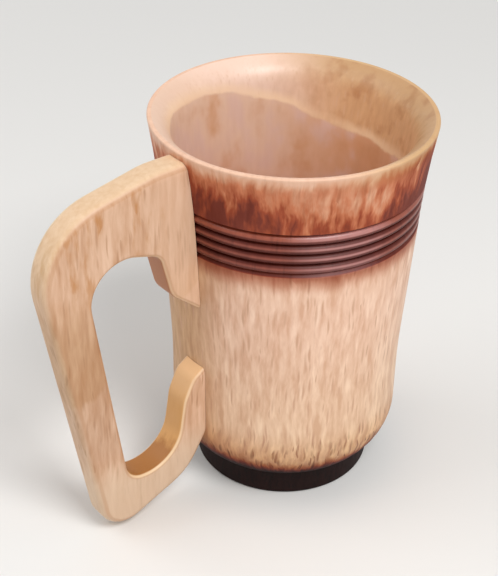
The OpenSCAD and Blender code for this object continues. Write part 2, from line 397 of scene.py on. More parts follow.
# Bamboo's fibres run up through pale wood in pointed streaks, some lighter and some darker, with thin
# dark bundles between them. A cut along them shows dashes, and one across them dots.
BENDS = 80.0
LENS_EDGE = (0.6, 0.1)
LENS_TONE = 0.8
SOFT_TONE = 2.2
MIDDLE_TONE = 0.6
BUNDLE_EDGE = (0.5, 0.14)
BUNDLE_THINNEST, BUNDLE_SPREAD = 0.65, 0.7
BUNDLES_SHOWN = (0.35, 0.75)

grain, given, wanted = new_group(
    "bamboo grain",
    [("Place", "Vector"), ("Streak Size", "Vector"), ("Fibre Size", "Vector"), ("Wander", "Float"),
     ("Tone", "Float"), ("Contrast", "Float"), ("Pale", "Color"), ("Deep", "Color"), ("Fibre", "Color")],
    [("Color", "Color"), ("Streak", "Float"), ("Bundle", "Float")])
drift = put(grain, "TexNoise", {"Vector": given["Place"], "Scale": BENDS, "Detail": 2.0}).outputs["Color"]
drift = moved(grain, "SUBTRACT", drift, (0.5, 0.5, 0.5))
drift = moved(grain, "SCALE", drift, given["Wander"])
drift = moved(grain, "ADD", drift, given["Place"])
cell = moved(grain, "DIVIDE", drift, given["Streak Size"])
flame = put(grain, "TexVoronoi", {"Vector": cell, "Scale": 1.0, "Randomness": 1.0})
chance = put(grain, "SeparateColor", {0: flame.outputs["Color"]}).outputs
pointed = fade(grain, flame.outputs["Distance"], *LENS_EDGE)
pointed = product(grain, pointed, sums(grain, "SUBTRACT", chance[0], 0.5))
soft = put(grain, "TexNoise", {"Vector": cell, "Scale": 1.0, "Detail": 3.0, "Roughness": 0.6}).outputs[0]
streak = plus(grain, soft, SOFT_TONE, sums(grain, "SUBTRACT", given["Tone"], MIDDLE_TONE))
streak = plus(grain, pointed, LENS_TONE, streak, clamp=True)
fine = moved(grain, "DIVIDE", drift, given["Fibre Size"])
bundle = put(grain, "TexVoronoi", {"Vector": fine, "Scale": 1.0, "Randomness": 1.0})
chance = put(grain, "SeparateColor", {0: bundle.outputs["Color"]}).outputs
thickness = plus(grain, chance[0], BUNDLE_SPREAD, BUNDLE_THINNEST)
near = sums(grain, "DIVIDE", bundle.outputs["Distance"], thickness)
dash = product(grain, fade(grain, near, *BUNDLE_EDGE), fade(grain, chance[1], *BUNDLES_SHOWN))
share = plus(grain, sums(grain, "SUBTRACT", streak, 0.5), given["Contrast"], 0.5, clamp=True)
colour = mixed(grain, share, given["Pale"], given["Deep"])
colour = mixed(grain, sums(grain, "MULTIPLY", dash, given["Contrast"], clamp=True), colour, given["Fibre"])
grain.links.new(colour, wanted["Color"])
grain.links.new(streak, wanted["Streak"])
grain.links.new(dash, wanted["Bundle"])


def bamboo(tree, place, streak, fibre, wander, colours=(), tone=0.0, contrast=1.0):
    """The grain group, placed in a material. streak and fibre are widths and lengths. colours are those of
    the pale streaks, the deep ones and the bundles, where its colour is used."""
    inputs = {"Place": place, "Streak Size": (streak[0], streak[0], streak[1]), "Tone": tone,
              "Fibre Size": (fibre[0], fibre[0], fibre[1]), "Wander": wander, "Contrast": contrast}
    inputs.update(zip(("Pale", "Deep", "Fibre"), colours))
    return put(tree, "Group", inputs, node_tree=grain).outputs


# A flame turns the wood orange, then red-brown and at last nearly black.
UNBURNT = (1, 1, 1, 1)
BLACKENED = (0.022, 0.007, 0.008, 1)
BURNS = ((0.25, (0.84, 0.65, 0.54, 1)), (0.45, (0.66, 0.33, 0.21, 1)), (0.6, (0.42, 0.13, 0.072, 1)),
         (0.75, (0.215, 0.06, 0.046, 1)), (0.9, (0.075, 0.0125, 0.011, 1)))

scorch, given, wanted = new_group("scorched", [("Wood", "Color"), ("Heat", "Float")], [("Color", "Color")])
burn = put(scorch, "ValToRGB", {0: given["Heat"]})
burn.color_ramp.elements[0].color = UNBURNT
burn.color_ramp.elements[1].color = BLACKENED
for where, colour in BURNS:
    burn.color_ramp.elements.new(where).color = colour
scorch.links.new(tinted(scorch, 1.0, given["Wood"], burn.outputs[0]), wanted["Color"])

LACQUER_IOR = 1.46


def new_material(name, roughness=0.5, coat=0.0, coat_roughness=0.3, specular=0.5):
    """A finish, with its node tree, shader and Object coordinates."""
    material = bpy.data.materials.new(name)
    material.use_nodes = True
    tree = material.node_tree
    tree.nodes.clear()
    shader = put(tree, "BsdfPrincipled", {
        "Roughness": roughness, "Coat Weight": coat, "Coat Roughness": coat_roughness,
        "IOR": LACQUER_IOR, "Specular IOR Level": specular})
    put(tree, "OutputMaterial", {"Surface": shader.outputs[0]})
    place = put(tree, "TexCoord").outputs["Object"]
    return material, tree, shader, place


turned, tree, shader, place = new_material("turned_bamboo", coat_roughness=0.35, specular=0.22)
split = put(tree, "SeparateXYZ", {0: place}).outputs
height = split[2]
depth = sums(tree, "SUBTRACT", CUP_HEIGHT, height)
around = sums(tree, "ARCTAN2", split[1], split[0])
below_crease = put(tree, "Attribute", attribute_name="below_crease").outputs["Fac"]
is_inside = put(tree, "Attribute", attribute_name="inside").outputs["Fac"]
is_outside = sums(tree, "SUBTRACT", 1.0, is_inside)

# Outside, the grain follows the turned outline, so that it runs on over the shoulder.
flat_place = moved(tree, "MULTIPLY", place, (1, 1, 0))
on_wall = moved(tree, "SCALE", moved(tree, "NORMALIZE", flat_place), WAIST_RADIUS)
on_wall = moved(tree, "ADD", on_wall, moved(tree, "MULTIPLY", place, (0, 0, 1)))
along_grain = put(tree, "Mix", {0: is_inside, 4: on_wall, 5: place}, data_type="VECTOR").outputs[1]

# Plain wood: pinkish above and yellower near the node, with painted shade beside the handle, where the
# handle shades the wall. Inside, the mouth has painted warm shade on one side and a painted sheen a
# quarter turn on. Each look comes in between the two sizes given for it, which are heights, depths below
# the lip, or distances from the axis in a direction.
NODE_HEIGHTS = (34 * MM, 15 * MM)
LOW_WALL_HEIGHTS = (80 * MM, 22 * MM)
# Painted warm shade: the side of the mouth turned from the key light is made golden and darker, as shade lit
# by warm bounce light.
WARM_SHADE_WAY, WARM_SHADE_REACH = math.radians(335), (-4 * MM, 32 * MM)
# Painted sheen: the mouth's far wall is paler and pinker where the lamp's reflection lies.
SHEEN_WAY, SHEEN_REACH = math.radians(66), (26 * MM, 41 * MM)
# Painted shade on the wall beside the handle, where the handle shades it.
HANDLE_SHADE_WAY, HANDLE_SHADE_REACH = math.radians(152), (24 * MM, 38 * MM)
HANDLE_SHADE_HEIGHTS = (105 * MM, 85 * MM)
LIP_DEPTHS = (1.2 * MM, 4 * MM)

HIGH_PALE, HIGH_DEEP = paint(246, 212, 188), paint(212, 165, 136)
LOW_PALE, LOW_DEEP = paint(242, 210, 178), paint(206, 164, 132)
# Painted shade beside the handle, in pale and deep streaks.
HANDLE_SHADE_PALE, HANDLE_SHADE_DEEP = paint(212, 172, 128), paint(178, 132, 92)
MOUTH_PALE, MOUTH_DEEP = paint(236, 204, 184), paint(216, 178, 150)
# Painted sheen inside the mouth, in pale and deep streaks.
SHEEN_PALE, SHEEN_DEEP = paint(244, 215, 200), paint(226, 190, 166)
# Painted warm shade inside the mouth, in pale and deep streaks.
WARM_SHADE_PALE, WARM_SHADE_DEEP = paint(226, 180, 134), paint(192, 140, 96)
NODE_PALE = paint(240, 204, 158)
WALL_BUNDLES, NODE_BUNDLES, MOUTH_BUNDLES = paint(202, 158, 130), paint(150, 104, 70), paint(214, 173, 142)

PATCH_SIZE = (22 * MM, 50 * MM)
STRIPE_SIZE = (2.6 * MM, 45 * MM)
STREAK_SIZE = (2.0 * MM, 10.5 * MM)
BUNDLE_SIZE = (1.0 * MM, 9 * MM)
PATCH_TONE, STRIPE_TONE, BASE_TONE = 0.7, 0.7, -0.7
WALL_CONTRAST, INSIDE_CONTRAST, NODE_CONTRAST, LIP_CONTRAST = 0.85, -0.48, 0.4, 0.25
WALL_WANDER, NODE_WANDER = 1.7 * MM, 6.0 * MM

at_node = fade(tree, height, *NODE_HEIGHTS)
low_wall = fade(tree, height, *LOW_WALL_HEIGHTS)
# Painted warm shade on the mouth's shaded side.
warm_shade = towards(tree, place, WARM_SHADE_WAY, *WARM_SHADE_REACH)
# Painted sheen on the mouth's far wall.
sheen = towards(tree, place, SHEEN_WAY, *SHEEN_REACH)
# Painted shade: the wall beside the handle is browner and darker.
handle_shade = product(tree, towards(tree, place, HANDLE_SHADE_WAY, *HANDLE_SHADE_REACH), fade(tree, height, *HANDLE_SHADE_HEIGHTS))
pale = mixed(tree, low_wall, HIGH_PALE, LOW_PALE)
pale = mixed(tree, at_node, pale, NODE_PALE)
pale = mixed(tree, handle_shade, pale, HANDLE_SHADE_PALE)
in_mouth = mixed(tree, warm_shade, mixed(tree, sheen, MOUTH_PALE, SHEEN_PALE), WARM_SHADE_PALE)
pale = mixed(tree, is_inside, pale, in_mouth)
deep = mixed(tree, low_wall, HIGH_DEEP, LOW_DEEP)
deep = mixed(tree, handle_shade, deep, HANDLE_SHADE_DEEP)
in_mouth = mixed(tree, warm_shade, mixed(tree, sheen, MOUTH_DEEP, SHEEN_DEEP), WARM_SHADE_DEEP)
deep = mixed(tree, is_inside, deep, in_mouth)
bundles = mixed(tree, at_node, WALL_BUNDLES, NODE_BUNDLES)
bundles = mixed(tree, is_inside, bundles, MOUTH_BUNDLES)
patches = clouds(tree, place, PATCH_SIZE, seed=3.0)
tone = plus(tree, patches, PATCH_TONE, BASE_TONE)
tone = plus(tree, clouds(tree, along_grain, STRIPE_SIZE, seed=8.0), STRIPE_TONE, tone)
contrast = product(tree, fade(tree, depth, *LIP_DEPTHS, low=LIP_CONTRAST),
                   plus(tree, is_inside, INSIDE_CONTRAST, WALL_CONTRAST))
contrast = plus(tree, at_node, NODE_CONTRAST, contrast)
wander = plus(tree, at_node, NODE_WANDER, WALL_WANDER)
wood = bamboo(tree, along_grain, STREAK_SIZE, BUNDLE_SIZE, wander, (pale, deep, bundles), tone, contrast)

# Scorching: the flame was held longer at three places round the cup, and it ran up the fibres in licks.
# Above the band it left ragged streaks, in the band it burnt the grooves most, and below it only smoke.
FLAME_WAY, FLAME_PLACES = math.radians(192), 3
HOTTEST_WAY, HOTTEST_REACH = math.radians(320), (18 * MM, 38 * MM)
FLAME_SIZE = (3.4 * MM, 12 * MM)
SPARK_SIZE = (1.5 * MM, 6 * MM)
FLAME_WANDER = 3.5 * MM
BLOTCH_SIZE = (7 * MM, 10 * MM)
BLOTCH_SHARE, LICK_MIDDLE = 0.6, 0.8

LICK_LENGTH = 4.2 * MM
TOAST_DEPTHS, TOAST_LEAST = (0.2 * MM, 5.5 * MM), 0.2
TOAST_HEAT, HELD_HEAT, HOTTEST_HEAT = 0.43, 0.08, 0.13
LIP_EDGE_DEPTHS, LIP_EDGE_SHARE = (0.2 * MM, 1.4 * MM), 0.4
CHAR_DEPTHS, CHAR_HELD, CHAR_HEAT = (6 * MM, 19 * MM), 1.4 * MM, 0.24
LICKED_DEPTHS, LICK_HEAT = (2 * MM, 9 * MM), 0.34
HEAT_ABOVE_MOST = 0.76

GROOVE_SHIFT = 0.32 * MM
GROOVE_SIDES = (1.85 * MM, 0.95 * MM)
FIRST_GROOVE_DEPTHS, FIRST_GROOVE_SHARE = (BAND_DROP + 1.0 * MM, BAND_DROP + 1.9 * MM), 0.1
LAST_GROOVE_DEPTHS, LAST_GROOVE_SHARE = (BAND_FOOT - 3 * MM, BAND_FOOT - 1.6 * MM), 0.5
ABOVE_BAND, BELOW_BAND = (BAND_DROP + 0.8 * MM, BAND_DROP), (BAND_FOOT - MM, BAND_FOOT)
BAND_START = (BAND_DROP - 0.6 * MM, BAND_DROP + 0.2 * MM)
BAND_END = (BAND_FOOT + 0.6 * MM, BAND_FOOT - 0.3 * MM)
CREST_DEPTHS, CREST_HEATS = (BAND_DROP + 1.5 * MM, BAND_DROP + 5 * MM), (0.65, 0.69)
GROOVE_HEAT = 0.17

SMOKE_LENGTH = 2.0 * MM
SMOKE_DEPTHS = (BAND_FOOT + 7.5 * MM, BAND_FOOT - 1.6 * MM)
SMOKE_HEAT = 0.4
CHARRED_LICKS, CHARRED_HELD = -2.4 * MM, -0.9 * MM
FOOT_HEIGHTS, FOOT_HEAT = (21.5 * MM, 11 * MM), 0.99
NODE_HEAT, NODE_HELD = 0.16, 0.12

hottest = towards(tree, place, HOTTEST_WAY, *HOTTEST_REACH)
held = sums(tree, "COSINE", plus(tree, around, FLAME_PLACES, -FLAME_PLACES * FLAME_WAY))
flames = bamboo(tree, along_grain, FLAME_SIZE, SPARK_SIZE, FLAME_WANDER)
licks = plus(tree, clouds(tree, along_grain, BLOTCH_SIZE, seed=7.0), BLOTCH_SHARE,
             sums(tree, "SUBTRACT", flames["Streak"], LICK_MIDDLE))

ragged = plus(tree, licks, LICK_LENGTH, depth)
toasting = product(tree, fade(tree, ragged, *TOAST_DEPTHS, low=TOAST_LEAST),
                   plus(tree, held, HELD_HEAT, TOAST_HEAT))
toasting = plus(tree, hottest, HOTTEST_HEAT, toasting)
toasting = product(tree, toasting, fade(tree, depth, *LIP_EDGE_DEPTHS, low=LIP_EDGE_SHARE))
charring = fade(tree, plus(tree, held, CHAR_HELD, ragged), *CHAR_DEPTHS, high=CHAR_HEAT)
heat_above = sums(tree, "ADD", toasting, charring)
heat_above = plus(tree, product(tree, licks, fade(tree, depth, *LICKED_DEPTHS)), LICK_HEAT, heat_above)
heat_above = product(tree, sums(tree, "MINIMUM", heat_above, HEAT_ABOVE_MOST),
                     fade(tree, depth, *ABOVE_BAND))

below_first = sums(tree, "SUBTRACT", depth, BAND_DROP - GROOVE_SHIFT)
from_groove = sums(tree, "PINGPONG", below_first, BEAD_PITCH / 2)
groove = product(tree, fade(tree, from_groove, *GROOVE_SIDES),
                 fade(tree, depth, *FIRST_GROOVE_DEPTHS, low=FIRST_GROOVE_SHARE),
                 fade(tree, depth, *LAST_GROOVE_DEPTHS, low=1.0, high=LAST_GROOVE_SHARE))
in_band = product(tree, fade(tree, depth, *BAND_START), fade(tree, depth, *BAND_END))
crest = fade(tree, depth, *CREST_DEPTHS, *CREST_HEATS)
heat_band = product(tree, in_band, plus(tree, groove, GROOVE_HEAT, crest))

smoky = product(tree, fade(tree, plus(tree, licks, SMOKE_LENGTH, depth), *SMOKE_DEPTHS),
                fade(tree, depth, *BELOW_BAND))
heat_below = product(tree, smoky, SMOKE_HEAT)
charred = plus(tree, licks, CHARRED_LICKS, plus(tree, held, CHARRED_HELD, height))
heat_foot = fade(tree, charred, *FOOT_HEIGHTS, high=FOOT_HEAT)
heat_node = product(tree, at_node, plus(tree, held, NODE_HELD, NODE_HEAT))
heat = chain(tree, "MAXIMUM", (heat_above, heat_band, heat_below, heat_foot, heat_node))
heat = product(tree, heat, is_outside)

# What the fire does to the wood before it chars it: dark knots and brown scales at the node, a brown haze
# over the foot and smoke under the band. Painted warm shade runs over the lip on the mouth's shaded side,
# and brown mottles lie on that side of the mouth.
KNOT_BROWN, KNOT_SHARE = paint(128, 82, 50), 0.85
SCALE_BROWN, SCALE_SHARE = paint(176, 120, 76), 0.7
SCALE_SIZE, SCALE_EDGE, SCALE_HEIGHTS = (2.4 * MM, 5.5 * MM), (0.5, 0.64), (28 * MM, 16 * MM)
NODE_TINT = paint(242, 234, 224)
HAZE_TINT, HAZE_HEIGHTS = paint(206, 184, 176), (23 * MM, 14 * MM)
SMOKE_TINT, SMOKE_SHARE = paint(188, 150, 146), 0.9
LIP_WARM_SHADE, LIP_WARM_SHADE_TINT, LIP_WARM_SHADE_DEPTHS = paint(232, 190, 144), paint(228, 231, 226), (8 * MM, 2 * MM)
MOTTLE_TINT, MOTTLE_SHARE = paint(222, 198, 176), 0.6
MOTTLE_SIZE, MOTTLE_EDGE = (7 * MM, 8 * MM), (0.48, 0.66)

knotted = product(tree, flames["Bundle"], at_node, KNOT_SHARE)
smoked = mixed(tree, knotted, wood["Color"], KNOT_BROWN)
scaly = product(tree, fade(tree, clouds(tree, along_grain, SCALE_SIZE, seed=12.0, detail=3.0), *SCALE_EDGE),
                fade(tree, height, *SCALE_HEIGHTS, high=SCALE_SHARE))
smoked = mixed(tree, scaly, smoked, SCALE_BROWN)
smoked = tinted(tree, at_node, smoked, NODE_TINT)
smoked = tinted(tree, fade(tree, charred, *HAZE_HEIGHTS), smoked, HAZE_TINT)
smoked = tinted(tree, product(tree, smoky, SMOKE_SHARE), smoked, SMOKE_TINT)
# Painted warm shade carried over the lip on the mouth's shaded side: golden outside, a little darker on both
# sides.
on_lip_warm_shade = product(tree, warm_shade, fade(tree, depth, *LIP_WARM_SHADE_DEPTHS))
smoked = mixed(tree, product(tree, on_lip_warm_shade, is_outside), smoked, LIP_WARM_SHADE)
smoked = tinted(tree, on_lip_warm_shade, smoked, LIP_WARM_SHADE_TINT)
mottled = product(tree, fade(tree, clouds(tree, place, MOTTLE_SIZE, seed=9.0, detail=3.0), *MOTTLE_EDGE),
                  warm_shade, is_inside, MOTTLE_SHARE)
smoked = tinted(tree, mottled, smoked, MOTTLE_TINT)
burnt = put(tree, "Group", {"Wood": smoked, "Heat": heat}, node_tree=scorch).outputs[0]

# A painted pinkish highlight lies on the beads' crests on one side of the cup, where the lamp's reflection
# falls.
CREST_HIGHLIGHT_WAY, CREST_HIGHLIGHT_REACH = math.radians(252), (37.5 * MM, 42 * MM)
CREST_HIGHLIGHT_PINK, CREST_HIGHLIGHT_SHARES = paint(226, 176, 176), (0.34, 0.05)
CREST_HIGHLIGHT_SIDES = (0.05, 0.8)

# Painted highlight on the beads' crests.
crest_highlight = product(tree, towards(tree, place, CREST_HIGHLIGHT_WAY, *CREST_HIGHLIGHT_REACH),
                   fade(tree, groove, *CREST_HIGHLIGHT_SIDES, *CREST_HIGHLIGHT_SHARES), in_band, is_outside)
wall = mixed(tree, crest_highlight, burnt, CREST_HIGHLIGHT_PINK)

# Skin of the bore: smooth and pinkish grey, with soft brown stains, painted warm shade on one side and
# painted shade deeper down, under a painted highlight along the crease where the mouth was cut.
NIBBLE_SIZE, NIBBLES = (5 * MM, 5 * MM), 2.4 * MM
SKIN_EDGE = (-0.7 * MM, 0.7 * MM)
# The second skin colour is painted warm shade, and the third is painted shade deeper down the bore.
SKIN, WARM_SHADE_SKIN, BORE_SHADE = paint(228, 194, 170), paint(214, 160, 122), paint(206, 154, 134)
BORE_SHADE_DEPTHS = (10 * MM, 45 * MM)
STAIN, BLOOM = paint(204, 146, 100), paint(222, 188, 176)
STAIN_SIZE, STAIN_EDGE, BLOOM_EDGE = (11 * MM, 16 * MM), (0.47, 0.68), (0.5, 0.32)
STAIN_SHARE, BLOOM_SHARE, BORE_SHADE_SHARE = 0.75, 0.7, 0.75
SKIN_STREAK, SKIN_STREAK_SHARE = paint(190, 140, 110), 0.14
RIDGE_HIGHLIGHT = paint(246, 212, 174)
RIDGE_HIGHLIGHT_TOP, RIDGE_HIGHLIGHT_FOOT = (-4.5 * MM, -0.6 * MM), (1.2 * MM, -0.4 * MM)
RIDGE_HIGHLIGHT_PATCHES, RIDGE_HIGHLIGHT_SHARES = (0.3, 0.6), (0.3, 0.65)

nibbled = clouds(tree, place, NIBBLE_SIZE, seed=1.0, detail=3.0)
edge = plus(tree, sums(tree, "SUBTRACT", nibbled, 0.5), NIBBLES, below_crease)
is_skin = fade(tree, edge, *SKIN_EDGE)
stains = clouds(tree, place, STAIN_SIZE, seed=5.4, detail=3.0)
# The skin is darker and more golden on the mouth's shaded side: painted warm shade.
skin = mixed(tree, warm_shade, SKIN, WARM_SHADE_SKIN)
skin = mixed(tree, fade(tree, stains, *STAIN_EDGE, high=STAIN_SHARE), skin, STAIN)
skin = mixed(tree, fade(tree, stains, *BLOOM_EDGE, high=BLOOM_SHARE), skin, BLOOM)
# Painted shade: the skin darkens deeper down the bore.
skin = mixed(tree, fade(tree, below_crease, *BORE_SHADE_DEPTHS, high=BORE_SHADE_SHARE), skin, BORE_SHADE)
skin = mixed(tree, product(tree, wood["Streak"], SKIN_STREAK_SHARE), skin, SKIN_STREAK)
# Painted highlight along the crease between the turned mouth and the skin.
ridge_highlight = product(tree, fade(tree, edge, *RIDGE_HIGHLIGHT_TOP), fade(tree, edge, *RIDGE_HIGHLIGHT_FOOT),
                fade(tree, patches, *RIDGE_HIGHLIGHT_PATCHES, *RIDGE_HIGHLIGHT_SHARES))
wall = mixed(tree, ridge_highlight, wall, RIDGE_HIGHLIGHT)
tree.links.new(mixed(tree, is_skin, wall, skin), shader.inputs["Base Color"])

# The bundles and streaks stand a little below the pale wood, and the charred foot is lumpy. Lacquer makes
# the beads' crests and the inside glossy, and fire dulls the rest.
RELIEF_HEIGHT, RELIEF_STRENGTH = 0.03 * MM, 0.6
BUNDLE_RELIEF, STREAK_RELIEF, INSIDE_RELIEF = -0.5, -0.4, -0.5
LUMP_SIZE, LUMP_RELIEF = (5 * MM, 5 * MM), 8.0
BASE_ROUGHNESS, STREAK_ROUGHNESS, FOOT_ROUGHNESS = 0.42, 0.08, 0.2
BURNT_ROUGHNESS, SKIN_ROUGHNESS = 0.2, -0.1
DULLED_HEATS = (0.2, 0.6)
COATED_HEATS, WALL_COAT, INSIDE_COAT = (0.1, 0.4), 0.12, 0.42
GLOSSY_SIDES, GLOSSY_COATS = (0.1, 0.9), (0.9, 0.1)
LAST_CREST_DEPTHS, LAST_CREST_SHARE = (BAND_FOOT - 1.8 * MM, BAND_FOOT - 1.0 * MM), 0.1

relief = plus(tree, wood["Bundle"], BUNDLE_RELIEF, product(tree, wood["Streak"], STREAK_RELIEF))
relief = product(tree, relief, plus(tree, is_inside, INSIDE_RELIEF, 1.0),
                 sums(tree, "SUBTRACT", 1.0, is_skin))
lumps = product(tree, clouds(tree, place, LUMP_SIZE, seed=2.0, detail=3.0), heat_foot)
relief = plus(tree, lumps, LUMP_RELIEF, relief)
bumps = put(tree, "Bump", {"Height": relief, "Distance": RELIEF_HEIGHT, "Strength": RELIEF_STRENGTH})
tree.links.new(bumps.outputs[0], shader.inputs["Normal"])
rough = plus(tree, wood["Streak"], STREAK_ROUGHNESS, BASE_ROUGHNESS)
rough = plus(tree, heat_foot, FOOT_ROUGHNESS, rough)
dulled = product(tree, fade(tree, heat_above, *DULLED_HEATS), is_outside)
rough = plus(tree, dulled, BURNT_ROUGHNESS, rough)
tree.links.new(plus(tree, is_skin, SKIN_ROUGHNESS, rough), shader.inputs["Roughness"])
coat = fade(tree, heat, *COATED_HEATS, WALL_COAT, 0.0)
coat = plus(tree, is_inside, INSIDE_COAT, coat)
on_crests = product(tree, in_band, is_outside,
                    fade(tree, depth, *LAST_CREST_DEPTHS, low=1.0, high=LAST_CREST_SHARE))
coat = plus(tree, on_crests, fade(tree, groove, *GLOSSY_SIDES, *GLOSSY_COATS), coat)
tree.links.new(coat, shader.inputs["Coat Weight"])
culm.data.materials.append(turned)
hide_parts("culm_body")
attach(culm, "root")

# Handle
# A flat board of bamboo, sawn to a C with its grain upright and its edges rounded over by hand.
# Its two ends are cut hollow to the culm and glued on over hidden dowels.

BOARD = 10 * MM
OUTER_EDGE = 2.6 * MM
INNER_EDGE = 1.5 * MM
EDGE_STEPS = 7
HOLDING_LOOP = 0.25 * MM
GLUE = 0.1 * MM

HANDLE_TOP = 126.0 * MM
HANDLE_LOW = 2.2 * MM
SEAT_RADIUS = 34.1 * MM

# Outer line, from the back of the hook round the heel, up the grip and back along the top
HOOK_BACK = 28 * MM
HOOK_OUT, HOOK_RISE, HOOK_OUT_ROUND = 6.1 * MM, 8.7 * MM, 20 * MM
GRIP_LOW, HEEL_ROUND = flat(76.4 * MM, HANDLE_LOW - 3.85 * MM), 10 * MM
GRIP_TOP, TOP_ROUND = flat(97.7 * MM, HANDLE_TOP - 8.5 * MM), 24 * MM
TOP_FLAT, TOP_FLAT_ROUND = 10 * MM, 30 * MM

# Finger opening, from the point of the lug over the arch, down inside the grip and up to the hook's tip
LUG_TIP, LUG_SEAT_DROP = 73.0 * MM, 4 * MM
LUG_RADIUS, LUG_LEAN = wall_radius(HANDLE_TOP - 26.5 * MM) + 10.6 * MM, 2 * MM
LUG_BEND, LUG_BEND_ROUND = 9.5 * MM, 8 * MM
ARCH_RISE, ARCH_LUG_ROUND = 8.8 * MM, 5 * MM
ARCH_HEIGHT, ARCH_ROUND = HANDLE_TOP - 19.2 * MM, 12 * MM
GRIP_TOP_WIDTH, GRIP_LOW_WIDTH = 14.5 * MM, 12.1 * MM
HEEL_HEIGHT, HEEL_TILT, HEEL_INNER_ROUND = HANDLE_LOW + 17.2 * MM, 2.1 * MM, 6.8 * MM
HOOK_RADIUS, HOOK_LEAN, HOOK_ROUND = WAIST_RADIUS + 9.6 * MM, 1.75 * MM, 13.6 * MM
HOOK_TIP, HOOK_BEND, HOOK_BEND_ROUND = 51.0 * MM, 10.5 * MM, 10 * MM
NOSE_OUT, NOSE_DROP, NOSE_ROUND = 4.5 * MM, 3.4 * MM, 6 * MM
HOOK_SEAT_RISE = 2.3 * MM


def grip_across(height, width):
    """Place on the outer line of the grip at a height, moved inwards by width."""
    share = (height - GRIP_LOW.z) / (GRIP_TOP.z - GRIP_LOW.z)
    return GRIP_LOW.x + (GRIP_TOP.x - GRIP_LOW.x) * share - width


OUTER_CORNERS = [
    (flat(SEAT_RADIUS, HOOK_BACK), 0),
    (flat(WAIST_RADIUS + HOOK_OUT, HANDLE_LOW + HOOK_RISE), HOOK_OUT_ROUND),
    (GRIP_LOW, HEEL_ROUND),
    (GRIP_TOP, TOP_ROUND),
    (flat(wall_radius(HANDLE_TOP) + TOP_FLAT, HANDLE_TOP), TOP_FLAT_ROUND),
    (flat(SEAT_RADIUS, HANDLE_TOP), 0),
]
INNER_CORNERS = [
    (flat(SEAT_RADIUS, LUG_TIP - LUG_SEAT_DROP), 0),
    (flat(LUG_RADIUS - LUG_LEAN, LUG_TIP + LUG_BEND), LUG_BEND_ROUND),
    (flat(LUG_RADIUS + LUG_LEAN, ARCH_HEIGHT - ARCH_RISE), ARCH_LUG_ROUND),
    (flat(grip_across(ARCH_HEIGHT, GRIP_TOP_WIDTH), ARCH_HEIGHT), ARCH_ROUND),
    (flat(grip_across(HEEL_HEIGHT, GRIP_LOW_WIDTH), HEEL_HEIGHT), HEEL_INNER_ROUND),
    (flat(HOOK_RADIUS + HOOK_LEAN, HEEL_HEIGHT - HEEL_TILT), HOOK_ROUND),
    (flat(HOOK_RADIUS - HOOK_LEAN, HOOK_TIP - HOOK_BEND), HOOK_BEND_ROUND),
    (flat(WAIST_RADIUS + NOSE_OUT, HOOK_TIP - NOSE_DROP), NOSE_ROUND),
    (flat(SEAT_RADIUS, HOOK_TIP + HOOK_SEAT_RISE), 0),
]

LEVEL = MM / 10
TOLERANCE = MM / 100
FLATNESS = 1e-4
SIDE_CORNERS_MOST = 20
OUTER_RAIL, INNER_RAIL = 1, 2

# The outline is drawn on the +X side and turned round to the handle's own side, -X.
bm = bmesh.new()
outer_points, inner_points = outline(OUTER_CORNERS), outline(INNER_CORNERS)
rim = drawn(bm, outer_points + inner_points, closed=True)
face = bm.faces.new(rim)
bmesh.ops.rotate(bm, verts=rim, cent=AXIS, matrix=Matrix.Rotation(math.pi, 3, "Z"))
bmesh.ops.translate(bm, verts=rim, vec=(0, -BOARD / 2, 0))
edge_layer = bm.edges.layers.int.new("side")
for number, rail in ((OUTER_RAIL, rim[:len(outer_points)]), (INNER_RAIL, rim[len(outer_points):])):
    for a, b in zip(rail, rail[1:]):
        bm.edges.get((a, b))[edge_layer] = number
thickened = bmesh.ops.extrude_face_region(bm, geom=[face], use_keep_orig=True)
far_side = [g for g in thickened["geom"] if isinstance(g, bmesh.types.BMVert)]
bmesh.ops.translate(bm, verts=far_side, vec=(0, BOARD, 0))
bmesh.ops.recalc_face_normals(bm, faces=bm.faces[:])
for side, width in ((OUTER_RAIL, OUTER_EDGE), (INNER_RAIL, INNER_EDGE)):
    edges = [e for e in bm.edges if e[edge_layer] == side
             and abs(e.verts[0].co.y - e.verts[1].co.y) < LEVEL
             and abs(abs(e.verts[0].co.y) - BOARD / 2) < TOLERANCE]
    bmesh.ops.bevel(bm, geom=edges, offset=width, offset_type="OFFSET", affect="EDGES",
                    segments=EDGE_STEPS, profile=0.5, material=-1)
caps = [f for f in bm.faces if abs(abs(f.normal.y) - 1) < FLATNESS and len(f.verts) > SIDE_CORNERS_MOST]
bmesh.ops.inset_region(bm, faces=caps, thickness=HOLDING_LOOP, use_even_offset=True)
handle = finished(bm, "handle_board")

# The seat is cut with the culm's plain outer form, a glue line larger.
bm = bmesh.new()
form = outline([(flat(0, -MM), 0), (flat(FOOT_RADIUS, -MM), 0), FOOT_CORNERS[-1]] + WALL_CORNERS[:-1]
               + [(flat(RIM_RADIUS, CUP_HEIGHT), 0), (flat(RIM_RADIUS, CUP_HEIGHT + MM), 0),
                  (flat(0, CUP_HEIGHT + MM), 0)])
drawn(bm, [p + flat(GLUE if p.x > 0 else 0, 0) for p in form])
turned_round(bm)
closed_up(bm)
seat_cutter = finished(bm, "seat_cutter")


def cut_away(piece, tool):
    """Cuts the tool's shape out of piece."""
    cut = piece.modifiers.new("cut", "BOOLEAN")
    cut.operation = "DIFFERENCE"
    cut.solver = "EXACT"
    cut.object = tool
    done = bpy.data.meshes.new_from_object(piece.evaluated_get(bpy.context.evaluated_depsgraph_get()))
    piece.modifiers.clear()
    bm = bmesh.new()
    bm.from_mesh(done)
    smoothed(bm, piece.data)
    bpy.data.meshes.remove(done)


cut_away(handle, seat_cutter)
bpy.data.objects.remove(seat_cutter)

